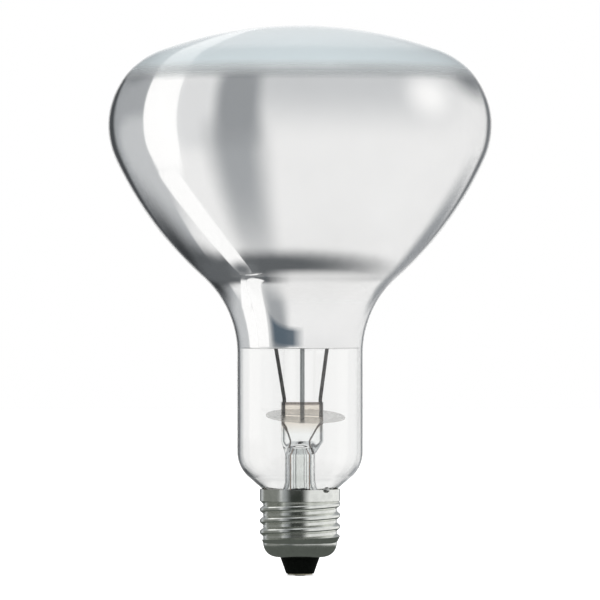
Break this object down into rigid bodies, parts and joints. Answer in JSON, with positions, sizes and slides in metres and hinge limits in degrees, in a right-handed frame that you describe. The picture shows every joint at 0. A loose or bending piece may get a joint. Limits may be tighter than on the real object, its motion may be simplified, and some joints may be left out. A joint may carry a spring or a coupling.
{
  "type": "infrared heat lamp bulb",
  "caption": "Large blown-glass reflector bulb with a silvered inside, wide filament, glass stem and screw cap, for infrared heat.",
  "frame": {"origin": "middle of the contact face at the end of the cap", "axes": "+Z along the lamp's axis from the cap to the dome, +X to the right and -Y to the front in the picture, with the side solder at the right front"},
  "size_m": [0.125, 0.125, 0.179],
  "materials": {
    "bulb_glass": "clear blown glass, dome lightly satin",
    "silver_film": "vapour coating inside the bulb",
    "stem_glass": "clear lead glass",
    "mica": "pale mica sheet",
    "nickel": "nickel wire",
    "sealing_alloy": "copper-clad sealing wire",
    "copper": "bare wire",
    "steel_rod": "drawn rod",
    "molybdenum": "drawn wire",
    "tungsten": "coiled wire",
    "plated_cap": "plated sheet, rolled",
    "black_glass": "black cast glass",
    "contact_brass": "stamped disc",
    "solder": "soft solder",
    "cement": "baked cement"
  },
  "bodies": {
    "root": {"glass_envelope": "bulb_glass", "reflector_coating": "silver_film", "glass_stem": "stem_glass", "exhaust_tube": "stem_glass", "heat_disc": "mica", "inner_lead_left": "nickel", "inner_lead_right": "nickel", "seal_wire_left": "sealing_alloy", "seal_wire_right": "sealing_alloy", "centre_lead_tail": "copper", "side_lead_tail": "copper", "support_rod": "steel_rod", "support_bead": "stem_glass", "filament": "tungsten", "cap_shell": "plated_cap", "cap_insulator": "black_glass", "contact_plate": "contact_brass", "contact_solder": "solder", "rim_solder": "solder", "capping_cement": "cement", "filament_support_1": "molybdenum", "filament_support_2": "molybdenum", "filament_support_3": "molybdenum", "filament_support_4": "molybdenum", "filament_support_5": "molybdenum"}
  },
  "joints": []
}
